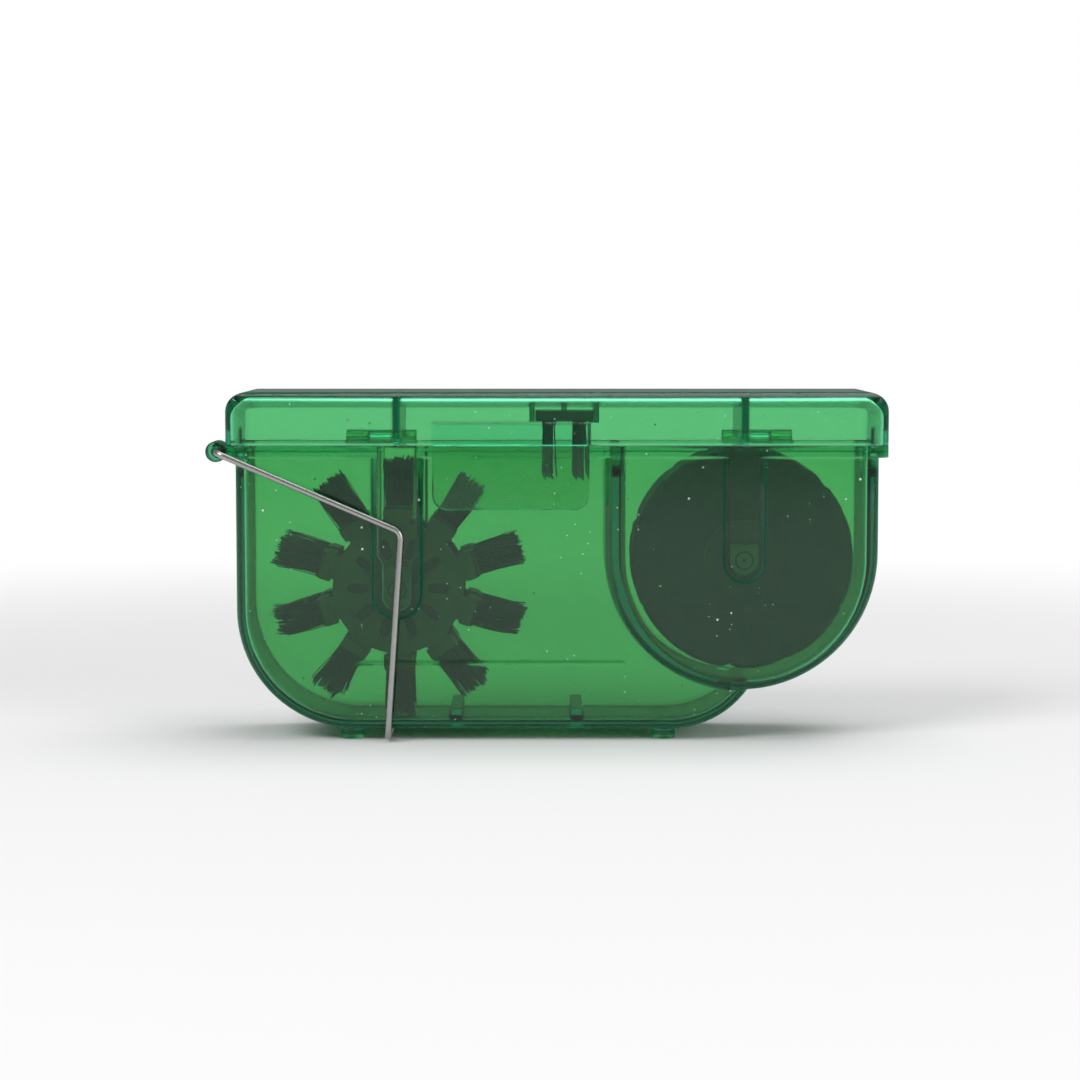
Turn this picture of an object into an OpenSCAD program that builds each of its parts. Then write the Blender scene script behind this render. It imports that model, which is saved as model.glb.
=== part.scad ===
// Chain cleaner: a clear tank with a rotating brush, a comb and a sponge wheel, and a wire arm.
// +X runs along the chain, +Y away from the viewer, +Z up. The origin is under the middle of the whole
// object, on the surface that it stands on.

/* [Tank] */
// Thickness of the moulded walls
wall = 2.6; // [2.2:0.1:3]
// Inside depth of the bath, front to back
bath_depth = 34; // [33:0.5:40]
// Height of the tank's rim above the table
tank_h = 92; // [91:0.5:100]
// Inside radius of the lower left corner
left_corner_r = 34.7; // [25:0.5:40]
// Inside radius of the lower right corner
right_corner_r = 27; // [20:0.5:32]
// Length of the flat floor between the two corners
floor_l = 97.7; // [85:0.5:105]
// Rounding of the tank's outer edges
edge_r = 3; // [1.5:0.1:3.6]
// Rounding of the tank's inner edges
inner_edge_r = 1.5; // [0.5:0.1:2]
// Height of the standing feet
foot_h = 3.4; // [3:0.1:5]
// Radius of a standing foot
foot_r = 3.5; // [2:0.1:4.5]
// Width of a floor rib
rib_w = 3.6; // [2:0.1:5]
// Height of a floor rib
rib_h = 3.4; // [1:0.1:3.6]
// Distance from the brush axle to the first floor rib, along the chain
rib_x = 18; // [10:0.5:22]
// Distance between the two floor ribs
rib_pitch = 37.8; // [20:0.5:50]

/* [Rim] */
// How far the rim flange stands out at the two ends
flange_out = 3; // [2:0.1:5]
// Thickness of the rim flange
flange_t = 3.6; // [2:0.1:5]
// Corner radius of the flange and the lid, seen from above
plan_r = 5; // [2:0.1:8]
// Width of the slot that the chain passes through
chain_slot_w = 15; // [12:0.5:18]
// Depth of that slot below the rim
chain_slot_h = 10.5; // [8:0.5:14]

/* [Level line] */
// Height of the fluid level line above the table
level_z = 24; // [15:0.5:34]
// Height of the raised line
level_line_w = 0.8; // [0.4:0.1:1.5]
// How far the line stands out of the wall
level_line_t = 0.4; // [0.2:0.1:0.6]
// Distance from the right end of the line to the sponge axle
level_end_gap = 37; // [34:0.5:60]

/* [Sponge chamber] */
// How far the chamber's front and back stand out past the bath's
cheek_step = 1.2; // [0.6:0.1:1.6]
// Width of the chamber's rim, seen from the front
cheek_edge = 4.4; // [4:0.1:5]
// How far the outer outline is moved to the left of the inner one
cheek_shift_x = 1; // [0:0.1:1.2]
// How far the outer outline is moved up from the inner one
cheek_shift_z = 2.1; // [0:0.1:2.2]
// Radius of the drain hole
drain_r = 2.3; // [1.5:0.1:3]
// Distance from the sponge axle to the drain hole, along the chain
drain_x = 4.4; // [0:0.1:6]
// Distance from the middle plane to the drain hole
drain_y = 12; // [0:0.5:14]

/* [Axle channels] */
// Depth of the whole tank at the channels, front to back
channel_depth = 45.2; // [44.6:0.1:52]
// Wall left in front of a channel's groove
channel_wall = 2.4; // [1.6:0.1:2.6]
// Width of the brush channel
brush_channel_w = 15.6; // [14.5:0.1:17]
// Width of the brush channel's groove above the bearing block
brush_groove_top_w = 11.9; // [10:0.1:14]
// Height of the funnel between the groove's two widths
groove_funnel_h = 2; // [1:0.1:4]
// Width of the sponge channel
sponge_channel_w = 13.4; // [12.5:0.1:16]
// Rounding of the channels' outer edges
channel_edge_r = 2.2; // [1:0.1:2.3]

/* [Bearing blocks] */
// Width of the brush wheel's bearing block
brush_block_w = 8.4; // [7:0.1:9]
// Height of the brush wheel's bearing block
brush_block_h = 14.3; // [12:0.1:16]
// Height of the brush axle above the bottom of its block
brush_block_drop = 6.1; // [4.5:0.1:7]
// Width of the sponge wheel's bearing block
sponge_block_w = 8.6; // [7:0.1:9]
// Height of the flat top of the sponge block above its axle
sponge_block_rise = 4.9; // [3:0.1:8]
// Thickness of a bearing block, front to back
block_t = 4.4; // [4:0.1:5]
// Depth of the blind bore in a bearing block
block_bore_l = 3.2; // [2.6:0.1:3.4]
// Radius of the ring on a block's outer face
block_ring_r = 3; // [2.2:0.1:3.2]
// Width of that ring
block_ring_w = 0.6; // [0.3:0.1:0.8]
// Depth of that ring
block_ring_t = 0.4; // [0.2:0.1:0.5]

/* [Wheels] */
// Distance between the two axles, along the chain
axle_gap = 107.6; // [104:0.5:112]
// How much higher the sponge axle is than the brush axle
sponge_lift = 9.2; // [7:0.1:11]
// Radius of both axles
axle_r = 1.5; // [1.2:0.1:2]
// Running clearance round a shaft
running_gap = 0.05; // [0.02:0.01:0.08]
// Play between a wheel and its bearing blocks, front to back
end_play = 0.4; // [0.3:0.1:0.8]

/* [Brush wheel] */
// Radius over the bristle tips
brush_r = 40.6; // [38:0.1:42]
// Gap between the bristle tips and the floor
brush_floor_gap = 0.6; // [0.4:0.1:2]
// Gap between the bristle tips and the left end wall
brush_side_gap = 6.9; // [5:0.1:12]
// Number of arms on a star disc
arm_count = 10; // [8:1:10]
// Radius to the outer end of a tuft holder
holder_r = 25.7; // [24:0.1:27]
// Radial height of a tuft holder
holder_h = 4; // [3:0.1:5]
// Width of a tuft holder
holder_w = 9; // [8:0.1:9.6]
// Length of a tuft holder, front to back
holder_l = 11; // [8:0.1:11]
// Radius of the plain middle of a star disc
web_r = 20.4; // [19:0.1:21]
// Thickness of a star disc's web
web_t = 3; // [2:0.1:5]
// Radius of a star disc's hub
disc_hub_r = 5; // [3:0.1:7]
// Width of the slots between the arms
web_slot_w = 3.1; // [2:0.1:3.6]
// Radius to the inner end of those slots
web_slot_in_r = 9.3; // [8.6:0.1:10]
// Radius to the outer end of those slots
web_slot_out_r = 16; // [14:0.1:16.4]
// Thickness left under those slots
web_slot_floor = 1; // [0.8:0.1:1.5]
// Length of the sleeve between the star discs
spacer_l = 6.4; // [5:0.1:8]

/* [Bristles] */
// Width of a wheel tuft at its root
tuft_w = 7.4; // [6:0.1:8]
// Length of a wheel tuft, front to back
tuft_l = 10.2; // [7:0.1:10.4]
// Thickness of the backing slice that a tuft stands in
slice_t = 1; // [0.6:0.1:1.5]
// Root radius of a strand
strand_r = 0.8; // [0.5:0.05:0.8]
// Tip radius of a strand
strand_tip_r = 0.55; // [0.3:0.05:0.6]
// How much shorter the shortest strands are
strand_ragged = 1.2; // [0:0.1:2]

/* [Sponge wheel] */
// Radius of the foam
sponge_r = 35; // [33:0.1:36]
// Gap between the foam and the chamber's wall
sponge_gap = 3.2; // [1:0.1:4]
// Thickness of the foam, front to back
foam_t = 26; // [20:0.5:27]
// Rounding of the foam's edges
foam_edge_r = 2; // [0.5:0.1:4]
// Radius of the sleeve inside the foam
core_r = 8.5; // [6:0.1:10]
// Clearance between the foam and its sleeve
foam_gap = 0.1; // [0.05:0.05:0.3]
// Radius of the foam's retaining plates
plate_r = 12; // [10:0.1:20]
// Thickness of a retaining plate
plate_t = 1.4; // [1:0.1:1.5]

/* [Lid] */
// Height of the lid above its seat
lid_h = 16.4; // [15.5:0.1:22]
// Gap between the lid and the rim
lid_gap = 0.2; // [0.1:0.05:0.4]
// Thickness of the lid's walls
lid_wall = 2.4; // [2:0.1:3]
// Rounding of the lid's long top edges
lid_edge_r = 4; // [2:0.1:6]
// Rounding of the lid's two ends, seen from the front
lid_end_r = 7; // [3:0.1:9]
// Height of the chain slots in the lid's ends
lid_slot_h = 4.3; // [3:0.1:6]
// Thickness of the hold-down ribs inside the lid
guide_t = 2; // [1.5:0.1:3]
// Gap between the rim and the lower edge of those ribs
guide_rise = 1; // [0.8:0.1:2]
// Width of the guide notch in those ribs
guide_notch_w = 10; // [8:0.1:14]
// Depth of the guide notch in those ribs
guide_notch_h = 2.2; // [1:0.1:4]

/* [Front tab] */
// Width of the tab
tab_w = 48.4; // [30:0.1:60]
// Distance from the brush axle to the middle of the tab, along the chain
tab_x = 35.3; // [30:0.1:45]
// How far the tab hangs below the rim
tab_drop = 19.6; // [12:0.1:26]
// Thickness of the tab
tab_t = 1.8; // [1.2:0.1:2]
// Gap between the tab and the flange
tab_gap = 0.3; // [0.2:0.05:0.6]
// Corner radius of the tab
tab_r = 4.6; // [2:0.1:6]
// Height of the bridge that joins the tab to the lid
tab_bridge_h = 7; // [4:0.1:9]
// Height of the snap bead inside the tab
bead_h = 1.6; // [1:0.1:2.4]
// How far the snap bead stands out
bead_t = 0.2; // [0.1:0.05:0.2]

/* [Hinge] */
// Distance between the middles of the two hinges
hinge_pitch = 122; // [80:1:150]
// Radius of a hinge knuckle
knuckle_r = 3; // [2.6:0.1:4]
// Length of the lid's knuckle
lid_knuckle_l = 8; // [5:0.1:14]
// Length of each of the tank's knuckles
tank_knuckle_l = 7; // [4:0.1:10]
// Gap between two knuckles
knuckle_gap = 0.3; // [0.2:0.05:0.6]
// Gap between the knuckles and the edge of the rim
knuckle_stand = 0.5; // [0.4:0.1:1.5]
// Radius of a hinge pin
hinge_pin_r = 1.25; // [1:0.05:1.5]
// Thickness of the webs that carry the knuckles
knuckle_web_t = 2.4; // [1.5:0.1:2.6]

/* [Comb] */
// Distance from the brush axle to the middle of the comb, along the chain
comb_x = 51.8; // [49:0.1:54]
// Distance between the two rows of comb tufts
comb_pitch = 9.6; // [7:0.1:10]
// Length of the comb's bar, along the chain
comb_l = 18; // [16:0.1:18]
// Width of the comb's bar, front to back
comb_w = 32; // [28:0.5:33]
// Thickness of the comb's bar
comb_t = 3.5; // [2.5:0.1:4]
// Distance from the rim up to the underside of the bar
comb_rise = 6; // [5:0.1:7]
// Free length of the comb's bristles
comb_bristle_l = 17; // [12:0.1:19]
// Gap that the chain takes between the two middle tufts of a row
comb_gap = 5; // [4.6:0.1:6]
// Radius of a comb tuft over its outer strands
comb_tuft_r = 2.2; // [2:0.05:2.3]
// Root radius of a comb strand
comb_strand_r = 0.38; // [0.3:0.02:0.38]
// Tip radius of a comb strand
comb_strand_tip_r = 0.28; // [0.2:0.02:0.34]
// Thickness of the walls that hold the bar in the lid
socket_t = 1.6; // [1:0.1:2.4]
// Clearance between the bar and those walls
socket_gap = 0.2; // [0.1:0.05:0.4]

/* [Arm] */
// Radius of the wire
wire_r = 1; // [0.8:0.05:1.3]
// Length from the pivot to the elbow
arm_upper_l = 62.3; // [50:0.1:66]
// Angle of the upper leg below the chain line, in degrees
arm_upper_tilt = 23.3; // [20:0.1:28]
// Gap between the hook and the feet beside it
hook_room = 7.2; // [3:0.1:12]
// Length of the hook at the free end
hook_l = 22; // [8:0.5:24]
// How much the wire swells where it is bent
bend_swell = 0.01; // [0.01:0.01:0.03]
// Bend radius of the wire, on its centre line
bend_r = 3.1; // [2.5:0.1:5]
// Gap between the wire and the front of the flange
arm_gap = 0.5; // [0.3:0.05:1.5]
// Radius of the pivot boss
boss_r = 3.2; // [3.2:0.1:4]
// Length of the pivot boss
boss_l = 9.6; // [8:0.1:12]
// Gap between the boss and the wire's bend in front of it
boss_gap = 0.2; // [0.1:0.05:0.5]
// How deep the boss is sunk into the flange
boss_lap = 0.5; // [0.2:0.1:0.5]
// Radius of the cap on the wire's end
cap_r = 2.4; // [2:0.1:2.4]
// Length of that cap
cap_l = 2.6; // [2:0.1:3]
// Depth of the blind bore in that cap
cap_bore_l = 1.6; // [1:0.1:1.8]

/* [Hidden] */

smooth = 96;
fine = 48;
overrun = 1;
seat_gap = 0.3;

clear_green = [0.16, 0.56, 0.33, 0.6];
pale_green = [0.24, 0.62, 0.36, 0.6];
brush_grey = [0.2, 0.22, 0.2];
bristle_black = [0.05, 0.05, 0.06];
foam_grey = [0.2, 0.24, 0.23];
steel_grey = [0.68, 0.69, 0.7];
block_grey = [0.36, 0.42, 0.38];

// Places of the axles, with the middle between them at x = 0
brush_x = -axle_gap / 2;
sponge_x = axle_gap / 2;
floor_z = foot_h + wall;
brush_z = floor_z + brush_floor_gap + brush_r;
sponge_z = brush_z + sponge_lift;

// Bath
bath_half = bath_depth / 2;
bath_left = brush_x - brush_r - brush_side_gap;
body_left = bath_left - wall;
left_corner_x = bath_left + left_corner_r;
left_corner_z = floor_z + left_corner_r;
right_corner_x = left_corner_x + floor_l;
right_corner_z = floor_z + right_corner_r;
inner_half = bath_half + cheek_step;
foot_y = bath_half - inner_edge_r - foot_r;
left_foot_x = left_corner_x - foot_r / 2;
right_foot_x = right_corner_x - foot_r / 2;

// Sponge chamber
chamber_r = sponge_r + sponge_gap;
cheek_r = chamber_r + cheek_edge;
cheek_x = sponge_x - cheek_shift_x;
cheek_z = sponge_z + cheek_shift_z;
body_right = cheek_x + cheek_r;

// Rim
channel_half = channel_depth / 2;
groove_half = channel_half - channel_wall;
flange_left = body_left - flange_out;
flange_right = body_right + flange_out;
flange_l = flange_right - flange_left;
chain_slot_r = chain_slot_w / 2;

// Bearing blocks, counted from the middle plane
block_far = groove_half - running_gap * 4;
block_near = block_far - block_t;
brush_block_z = brush_z - brush_block_drop;
brush_groove_w = brush_block_w + 2 * seat_gap;
brush_groove_z = brush_block_z - seat_gap;
sponge_block_z = sponge_z - sponge_block_w / 2;
sponge_groove_w = sponge_block_w + 2 * seat_gap;
sponge_groove_z = sponge_block_z - seat_gap;
axle_half = block_near + block_bore_l - end_play / 2;
hub_half = block_near - end_play;
bore_r = axle_r + running_gap;

// Star discs, counted from the middle plane
holder_far = hub_half - end_play;
holder_near = holder_far - holder_l;
web_far = holder_far - slice_t;
arm_width_shares = [0.64, 0.8, 1];
arm_reach_shares = [0.3, 0.62, 1];
arm_root_r = web_r - holder_h / 2;
arm_end_r = holder_r - holder_h + slice_t;
tuft_rows = 4;
tuft_columns = 5;
tuft_splay = 1.12;
scatter_angle = 137.5;
strand_sides = 3;
comb_strands = 10;

// Lid
seat_z = tank_h + lid_gap;
lid_top = seat_z + lid_h;
ceiling_z = lid_top - lid_wall;
tab_near = channel_half + tab_gap;
tab_far = tab_near + tab_t;
comb_z = tank_h + comb_rise;
comb_mid_x = brush_x + comb_x;
comb_inner_y = comb_gap / 2 + comb_tuft_r;
comb_outer_y = comb_w / 2 - comb_tuft_r;

// Hinge
hinge_y = channel_half + knuckle_stand + knuckle_r;
hinge_z = tank_h + lid_gap / 2;
hinge_bore_r = hinge_pin_r + running_gap;
hinge_l = lid_knuckle_l + 2 * (tank_knuckle_l + knuckle_gap);
tank_knuckle_x = (lid_knuckle_l + tank_knuckle_l) / 2 + knuckle_gap;

// Arm
pivot_x = flange_left - boss_r + boss_lap;
pivot_z = tank_h - flange_t / 2;
arm_y = -(channel_half + arm_gap + wire_r);
boss_near = arm_y + bend_r + boss_gap;
boss_far = boss_near + boss_l;
elbow_x = pivot_x + arm_upper_l * cos(arm_upper_tilt);
elbow_z = pivot_z - arm_upper_l * sin(arm_upper_tilt);
hook_x = left_foot_x + foot_r + hook_room + wire_r;
hook_z = foot_h / 2;
arm_lower_lean = atan((elbow_x - hook_x) / (elbow_z - hook_z));
arm_lower_l = (elbow_z - hook_z) / cos(arm_lower_lean);
elbow_turn = 90 + arm_lower_lean - arm_upper_tilt;
elbow_cut = bend_r * tan(elbow_turn / 2);
wire_end_y = boss_far + running_gap * 4 + cap_bore_l;

// The whole object is centred over the origin
whole_left = pivot_x - boss_r;
whole_x = (whole_left + flange_right) / 2;
whole_y = (hinge_y + knuckle_r + arm_y - wire_r) / 2;

module centred() {
    translate([-whole_x, -whole_y, 0]) children();
}

// A flat outline in X and Z, made solid from near to far on the front and the back side
module both_sides(near, far) {
    for (flip = [0, 1])
        mirror([0, flip, 0]) one_side(near, far) children();
}

module one_side(near, far) {
    translate([0, far, 0]) rotate([90, 0, 0]) linear_extrude(far - near) children();
}

// Round bar or tube along Y
module cross_bar(radius, near, far) {
    translate([0, far, 0]) rotate([90, 0, 0]) cylinder(r = radius, h = far - near, $fn = fine);
}

// Half section of a moulding, from its centre line to its rounded outer edge
module edge_section(reach, half, round_r) {
    translate([0, -half]) square([reach - round_r, 2 * half]);
    translate([0, round_r - half]) square([reach, 2 * (half - round_r)]);
    for (side = [-1, 1])
        translate([reach - round_r, side * (half - round_r)]) circle(r = round_r, $fn = fine);
}

// That section turned through an angle about Y
module edge_turn(reach, half, round_r, start, sweep) {
    rotate([90, 0, 0]) rotate([0, 0, start])
        rotate_extrude(angle = sweep, $fn = smooth) edge_section(reach, half, round_r);
}

// Trough with two round lower corners: its outside when grown by the wall, else its inside
module bath_solid(grow, half, round_r, top) {
    left_r = left_corner_r + grow;
    right_r = right_corner_r + grow;
    translate([left_corner_x, 0, left_corner_z]) {
        edge_turn(left_r, half, round_r, 180, 90);
        rotate([0, 0, 180]) linear_extrude(top - left_corner_z) edge_section(left_r, half, round_r);
    }
    translate([left_corner_x, 0, right_corner_z])
        rotate([0, 90, 0]) linear_extrude(floor_l) edge_section(right_r, half, round_r);
    translate([right_corner_x, 0, right_corner_z]) edge_turn(right_r, half, round_r, 270, 90);
    translate([left_corner_x, -half, right_corner_z])
        cube([floor_l, 2 * half, top - right_corner_z]);
}

// U-shaped block with rounded edges
module chamber_solid(mid_x, mid_z, reach, half, round_r, top) {
    translate([mid_x, 0, mid_z]) {
        edge_turn(reach, half, round_r, 180, 180);
        for (turn = [0, 180])
            rotate([0, 0, turn]) linear_extrude(top - mid_z) edge_section(reach, half, round_r);
    }
}

// Upright slot with a round bottom
module slot_outline(width, bottom, top) {
    translate([0, bottom + width / 2]) circle(d = width, $fn = fine);
    translate([-width / 2, bottom + width / 2]) square([width, top - bottom - width / 2]);
}

// Groove of the brush channel, with a funnel above the seat of its block
module brush_groove_outline() {
    seat_top = brush_block_z + brush_block_h + seat_gap;
    slot_outline(brush_groove_w, brush_groove_z, seat_top);
    polygon([
        [-brush_groove_w / 2, seat_top],
        [brush_groove_w / 2, seat_top],
        [brush_groove_top_w / 2, seat_top + groove_funnel_h],
        [brush_groove_top_w / 2, tank_h + overrun],
        [-brush_groove_top_w / 2, tank_h + overrun],
        [-brush_groove_top_w / 2, seat_top + groove_funnel_h]
    ]);
}

// Plan of the rim and of the lid, drawn in by an inset
module plan_outline(inset) {
    radius = plan_r - inset;
    half = channel_half - inset;
    low = flange_left + inset;
    length = flange_l - 2 * inset;
    translate([low + radius, -half]) square([length - 2 * radius, 2 * half]);
    translate([low, radius - half]) square([length, 2 * (half - radius)]);
    for (x = [low + radius, low + length - radius], side = [-1, 1])
        translate([x, side * (half - radius)]) circle(r = radius, $fn = fine);
}

// Passage for the chain through one wall
module chain_passage(from_x, to_x) {
    translate([from_x, 0, tank_h - chain_slot_h + chain_slot_r])
        rotate([0, 90, 0]) cylinder(r = chain_slot_r, h = to_x - from_x, $fn = fine);
    translate([from_x, -chain_slot_r, tank_h - chain_slot_h + chain_slot_r])
        cube([to_x - from_x, chain_slot_w, chain_slot_h]);
}

module tank_outside() {
    bath_solid(wall, bath_half + wall, edge_r, tank_h);
    chamber_solid(cheek_x, cheek_z, cheek_r, inner_half + wall, edge_r, tank_h);
    translate([0, 0, tank_h - flange_t]) linear_extrude(flange_t) plan_outline(0);
    chamber_solid(brush_x, brush_groove_z - wall + brush_channel_w / 2, brush_channel_w / 2,
        channel_half, channel_edge_r, tank_h - flange_t / 2);
    chamber_solid(sponge_x, sponge_groove_z - wall + sponge_channel_w / 2, sponge_channel_w / 2,
        channel_half, channel_edge_r, tank_h - flange_t / 2);
    for (x = [left_foot_x, right_foot_x], y = [-foot_y, foot_y])
        translate([x, y, 0]) cylinder(r = foot_r, h = foot_h + wall / 2, $fn = fine);
    translate([left_corner_x, -bath_half - wall - level_line_t, level_z])
        cube([sponge_x - level_end_gap - left_corner_x, level_line_t + wall / 2, level_line_w]);
}

// Boss that the arm turns in, on the left end of the rim
module arm_boss() {
    translate([pivot_x, 0, pivot_z]) cross_bar(boss_r, boss_near, boss_far);
    translate([pivot_x, boss_near, tank_h - flange_t]) cube([boss_r + boss_lap, boss_l, flange_t]);
}

// Knuckles at the back: centres along X, their length, and the height that their webs start from
module knuckles(offsets, length, web_z) {
    for (hinge = [-0.5, 0.5] * hinge_pitch, offset_x = offsets)
        translate([hinge + offset_x - length / 2, 0, 0]) {
            translate([0, hinge_y, hinge_z])
                rotate([0, 90, 0]) cylinder(r = knuckle_r, h = length, $fn = fine);
            translate([0, channel_half - lid_wall, web_z])
                cube([length, hinge_y - channel_half + lid_wall, knuckle_web_t]);
        }
}

module knuckle_bores() {
    for (hinge = [-0.5, 0.5] * hinge_pitch)
        translate([hinge - hinge_l / 2 - overrun, hinge_y, hinge_z])
            rotate([0, 90, 0]) cylinder(r = hinge_bore_r, h = hinge_l + 2 * overrun, $fn = fine);
}

module tank() {
    color(clear_green) centred() {
        difference() {
            union() {
                tank_outside();
                arm_boss();
                knuckles([-tank_knuckle_x, tank_knuckle_x], tank_knuckle_l,
                    hinge_z - knuckle_web_t - lid_gap / 2);
            }
            difference() {
                bath_solid(0, bath_half, inner_edge_r, tank_h + overrun);
                translate([sponge_x, 0, 0]) both_sides(0, bath_half + overrun)
                    slot_outline(2 * (chamber_r + wall), sponge_z - chamber_r - wall, tank_h + 2 * overrun);
            }
            chamber_solid(sponge_x, sponge_z, chamber_r, inner_half, inner_edge_r, tank_h + overrun);
            translate([brush_x, 0, 0]) both_sides(bath_half - overrun, groove_half) brush_groove_outline();
            translate([sponge_x, 0, 0]) both_sides(inner_half - overrun, groove_half)
                slot_outline(sponge_groove_w, sponge_groove_z, tank_h + overrun);
            chain_passage(flange_left - overrun, bath_left + overrun);
            chain_passage(sponge_x - cheek_r - overrun, sponge_x - chamber_r + wall);
            chain_passage(sponge_x + chamber_r - wall, flange_right + overrun);
            translate([sponge_x - drain_x, drain_y, sponge_z - chamber_r - wall - overrun])
                cylinder(r = drain_r, h = 2 * wall + overrun, $fn = fine);
            translate([pivot_x, 0, pivot_z])
                cross_bar(wire_r + running_gap, boss_near - overrun, boss_far + overrun);
            knuckle_bores();
        }
        for (x = [rib_x, rib_x + rib_pitch])
            translate([brush_x + x - rib_w / 2, -bath_half - wall / 2, foot_h + wall / 2])
                cube([rib_w, bath_depth + wall, rib_h + wall / 2]);
    }
}

// The lid's form: rounded in plan, along its long top edges and at its two ends
module lid_form(inset, low) {
    top = lid_top - inset;
    edge = lid_edge_r - inset / 2;
    end = lid_end_r - inset / 2;
    half = channel_half - inset;
    left = flange_left + inset;
    length = flange_l - 2 * inset;
    intersection() {
        translate([0, 0, low]) linear_extrude(top - low) plan_outline(inset);
        translate([left, 0, 0]) rotate([90, 0, 90]) linear_extrude(length)
            capped_outline(-half, 2 * half, low, top, edge);
        translate([0, half, 0]) rotate([90, 0, 0]) linear_extrude(2 * half)
            capped_outline(left, length, low, top, end);
    }
}

// Upright rectangle with two round upper corners
module capped_outline(left, width, low, top, radius) {
    translate([left, low]) square([width, top - low - radius]);
    translate([left + radius, low]) square([width - 2 * radius, top - low]);
    for (x = [left + radius, left + width - radius])
        translate([x, top - radius]) circle(r = radius, $fn = fine);
}

// Rib across the lid that holds the chain down and keeps it central
module lid_guide(mid_x) {
    low = seat_z + guide_rise;
    translate([mid_x - guide_t / 2, 0, 0]) difference() {
        translate([0, -channel_half + lid_wall / 2, low])
            cube([guide_t, channel_depth - lid_wall, ceiling_z + lid_wall / 2 - low]);
        translate([-overrun, -guide_notch_w / 2, low - overrun])
            cube([guide_t + 2 * overrun, guide_notch_w, guide_notch_h + overrun]);
    }
}

// Two walls and a stop, all hanging from the lid's ceiling, that hold the comb's bar
module comb_socket() {
    wall_x = comb_l / 2 + socket_gap;
    for (side = [-1, 1])
        translate([comb_mid_x + side * (wall_x + socket_t / 2) - socket_t / 2, -comb_w / 2, comb_z + slice_t])
            cube([socket_t, comb_w, ceiling_z + lid_wall / 2 - comb_z - slice_t]);
    translate([comb_mid_x - socket_t / 2, -comb_w / 2, comb_z + slice_t + comb_t])
        cube([socket_t, comb_w, ceiling_z + lid_wall / 2 - comb_z - slice_t - comb_t]);
}

module lid_tab() {
    low = tank_h - tab_drop;
    middle = brush_x + tab_x;
    translate([middle, 0, 0]) mirror([0, 1, 0]) {
        one_side(tab_near, tab_far) {
            translate([tab_r - tab_w / 2, low]) square([tab_w - 2 * tab_r, tab_r + overrun]);
            translate([-tab_w / 2, low + tab_r])
                square([tab_w, seat_z + tab_bridge_h - low - tab_r]);
            for (side = [-1, 1])
                translate([side * (tab_w / 2 - tab_r), low + tab_r]) circle(r = tab_r, $fn = fine);
        }
        translate([-tab_w / 2, channel_half - lid_wall / 2, seat_z + lid_gap])
            cube([tab_w, tab_near - channel_half + lid_wall, tab_bridge_h - lid_gap]);
        translate([-tab_w / 4, tab_near - bead_t, tank_h - flange_t - bead_h])
            cube([tab_w / 2, bead_t + tab_t / 2, bead_h]);
    }
}

module lid() {
    color(pale_green) centred() difference() {
        union() {
            difference() {
                lid_form(0, seat_z);
                lid_form(lid_wall, seat_z - overrun);
            }
            lid_guide(brush_x);
            lid_guide(sponge_x);
            comb_socket();
            lid_tab();
            knuckles([0], lid_knuckle_l, hinge_z + lid_gap / 2);
        }
        for (x = [flange_left - overrun, flange_right - lid_wall - overrun])
            translate([x, -chain_slot_r, seat_z - overrun])
                cube([lid_wall + 2 * overrun, chain_slot_w, lid_slot_h + overrun]);
        knuckle_bores();
    }
}

module hinge_pins() {
    color(steel_grey) centred()
        for (hinge = [-0.5, 0.5] * hinge_pitch)
            translate([hinge - hinge_l / 2, hinge_y, hinge_z])
                rotate([0, 90, 0]) cylinder(r = hinge_pin_r, h = hinge_l, $fn = fine);
}

// Points and faces of one tapered strand that stands along Z
function strand_ring(at, radius, turn) = [
    for (i = [0:strand_sides - 1])
        at + radius * [cos(turn + 360 * i / strand_sides), sin(turn + 360 * i / strand_sides), 0]
];

function strand_faces(first) = concat(
    [[for (i = [0:strand_sides - 1]) first + i]],
    [[for (i = [strand_sides - 1:-1:0]) first + strand_sides + i]],
    [for (i = [0:strand_sides - 1], half = [0, 1])
        let (next = (i + 1) % strand_sides)
        half == 0 ? [first + next, first + i, first + strand_sides + i]
            : [first + next, first + strand_sides + i, first + strand_sides + next]]
);

// A tuft: strands from the given roots, spread by tuft_splay at their tips
module strands(roots, length, root_r, tip_r) {
    points = [
        for (i = [0:len(roots) - 1])
            let (root = roots[i], drop = strand_ragged * (1 + sin(scatter_angle * (i + 1))) / 2)
            for (point = concat(
                strand_ring([root[0], root[1], -slice_t / 2], root_r, scatter_angle * i),
                strand_ring([root[0] * tuft_splay, root[1] * tuft_splay, length - drop],
                    tip_r, scatter_angle * i)))
                point
    ];
    faces = [for (i = [0:len(roots) - 1]) for (face = strand_faces(2 * strand_sides * i)) face];
    polyhedron(points, faces);
}

// One wheel tuft on its backing slice, standing along Z
module wheel_tuft(length) {
    pitch = [tuft_w / tuft_rows, tuft_l / tuft_columns];
    roots = [
        for (i = [0:tuft_rows - 1], j = [0:tuft_columns - 1])
            [(i - (tuft_rows - 1) / 2) * pitch[0], (j - (tuft_columns - 1) / 2) * pitch[1]]
    ];
    translate([-holder_w / 2, -holder_l / 2, -slice_t]) cube([holder_w, holder_l, slice_t]);
    strands(roots, length, strand_r, strand_tip_r);
}

// Puts its child at every arm of the brush wheel, with Z pointing outwards
module on_arms(radius) {
    for (i = [0:arm_count - 1])
        rotate([0, -360 * (i + 0.5) / arm_count, 0]) translate([radius, 0, 0]) rotate([0, 90, 0]) children();
}

module brush_tufts(side) {
    color(bristle_black) centred() translate([brush_x, side * (holder_near + holder_far) / 2, brush_z])
        on_arms(holder_r) wheel_tuft(brush_r - holder_r);
}

module brush_tufts_front() {
    brush_tufts(-1);
}

module brush_tufts_rear() {
    brush_tufts(1);
}

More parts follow.
